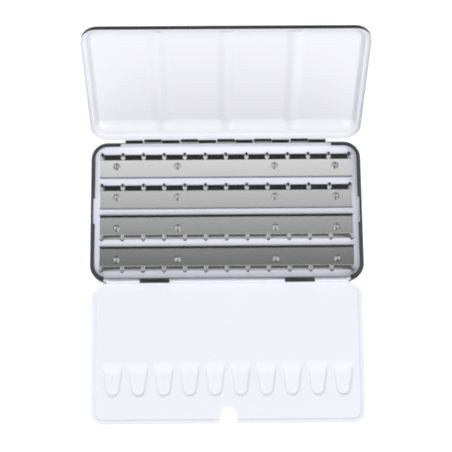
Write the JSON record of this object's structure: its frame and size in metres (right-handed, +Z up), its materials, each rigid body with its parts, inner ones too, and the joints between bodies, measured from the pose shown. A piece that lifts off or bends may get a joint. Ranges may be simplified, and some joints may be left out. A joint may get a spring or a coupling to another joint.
{
  "type": "watercolor pan set tin",
  "caption": "Flat folding metal watercolour tin, open and empty, with a hinged lid of mixing wells, clip rails for half pans and a fold-out mixing leaf.",
  "frame": {"origin": "centre of the base's flat underside", "axes": "+X to the right along the hinges, +Y towards the lid hinge at the back, +Z up"},
  "size_m": [0.22, 0.2899, 0.1125],
  "materials": {
    "base_enamel": "glossy black enamel outside, glossy white enamel inside",
    "lid_enamel": "glossy white enamel inside, black enamel outside",
    "leaf_enamel": "glossy white enamel on both faces",
    "rail_steel": "satin, lightly brushed sheet",
    "rivet_steel": "satin to bright",
    "pin_steel": "bright drawn wire"
  },
  "bodies": {
    "base": {"base_tray": "base_enamel", "lid_hinge_pin": "pin_steel", "leaf_hinge_pin": "pin_steel", "pan_rail_1": "rail_steel", "pan_rail_2": "rail_steel", "pan_rail_3": "rail_steel", "pan_rail_4": "rail_steel", "rail_1_rivet_1": "rivet_steel", "rail_1_rivet_2": "rivet_steel", "rail_1_rivet_3": "rivet_steel", "rail_1_rivet_4": "rivet_steel", "rail_2_rivet_1": "rivet_steel", "rail_2_rivet_2": "rivet_steel", "rail_2_rivet_3": "rivet_steel", "rail_2_rivet_4": "rivet_steel", "rail_3_rivet_1": "rivet_steel", "rail_3_rivet_2": "rivet_steel", "rail_3_rivet_3": "rivet_steel", "rail_3_rivet_4": "rivet_steel", "rail_4_rivet_1": "rivet_steel", "rail_4_rivet_2": "rivet_steel", "rail_4_rivet_3": "rivet_steel", "rail_4_rivet_4": "rivet_steel"},
    "lid": {"lid": "lid_enamel"},
    "leaf": {"mixing_leaf": "leaf_enamel"}
  },
  "joints": [
    {"name": "lid_hinge", "type": "hinge", "parent": "base", "child": "lid", "pos_m": [0, 0.0588, 0.0112], "axis": [1, 0, 0], "range_deg": [-61, 119]},
    {"name": "leaf_hinge", "type": "hinge", "parent": "base", "child": "leaf", "pos_m": [0, -0.05735, 0.0103], "axis": [1, 0, 0], "range_deg": [-181.6, 0]}
  ]
}
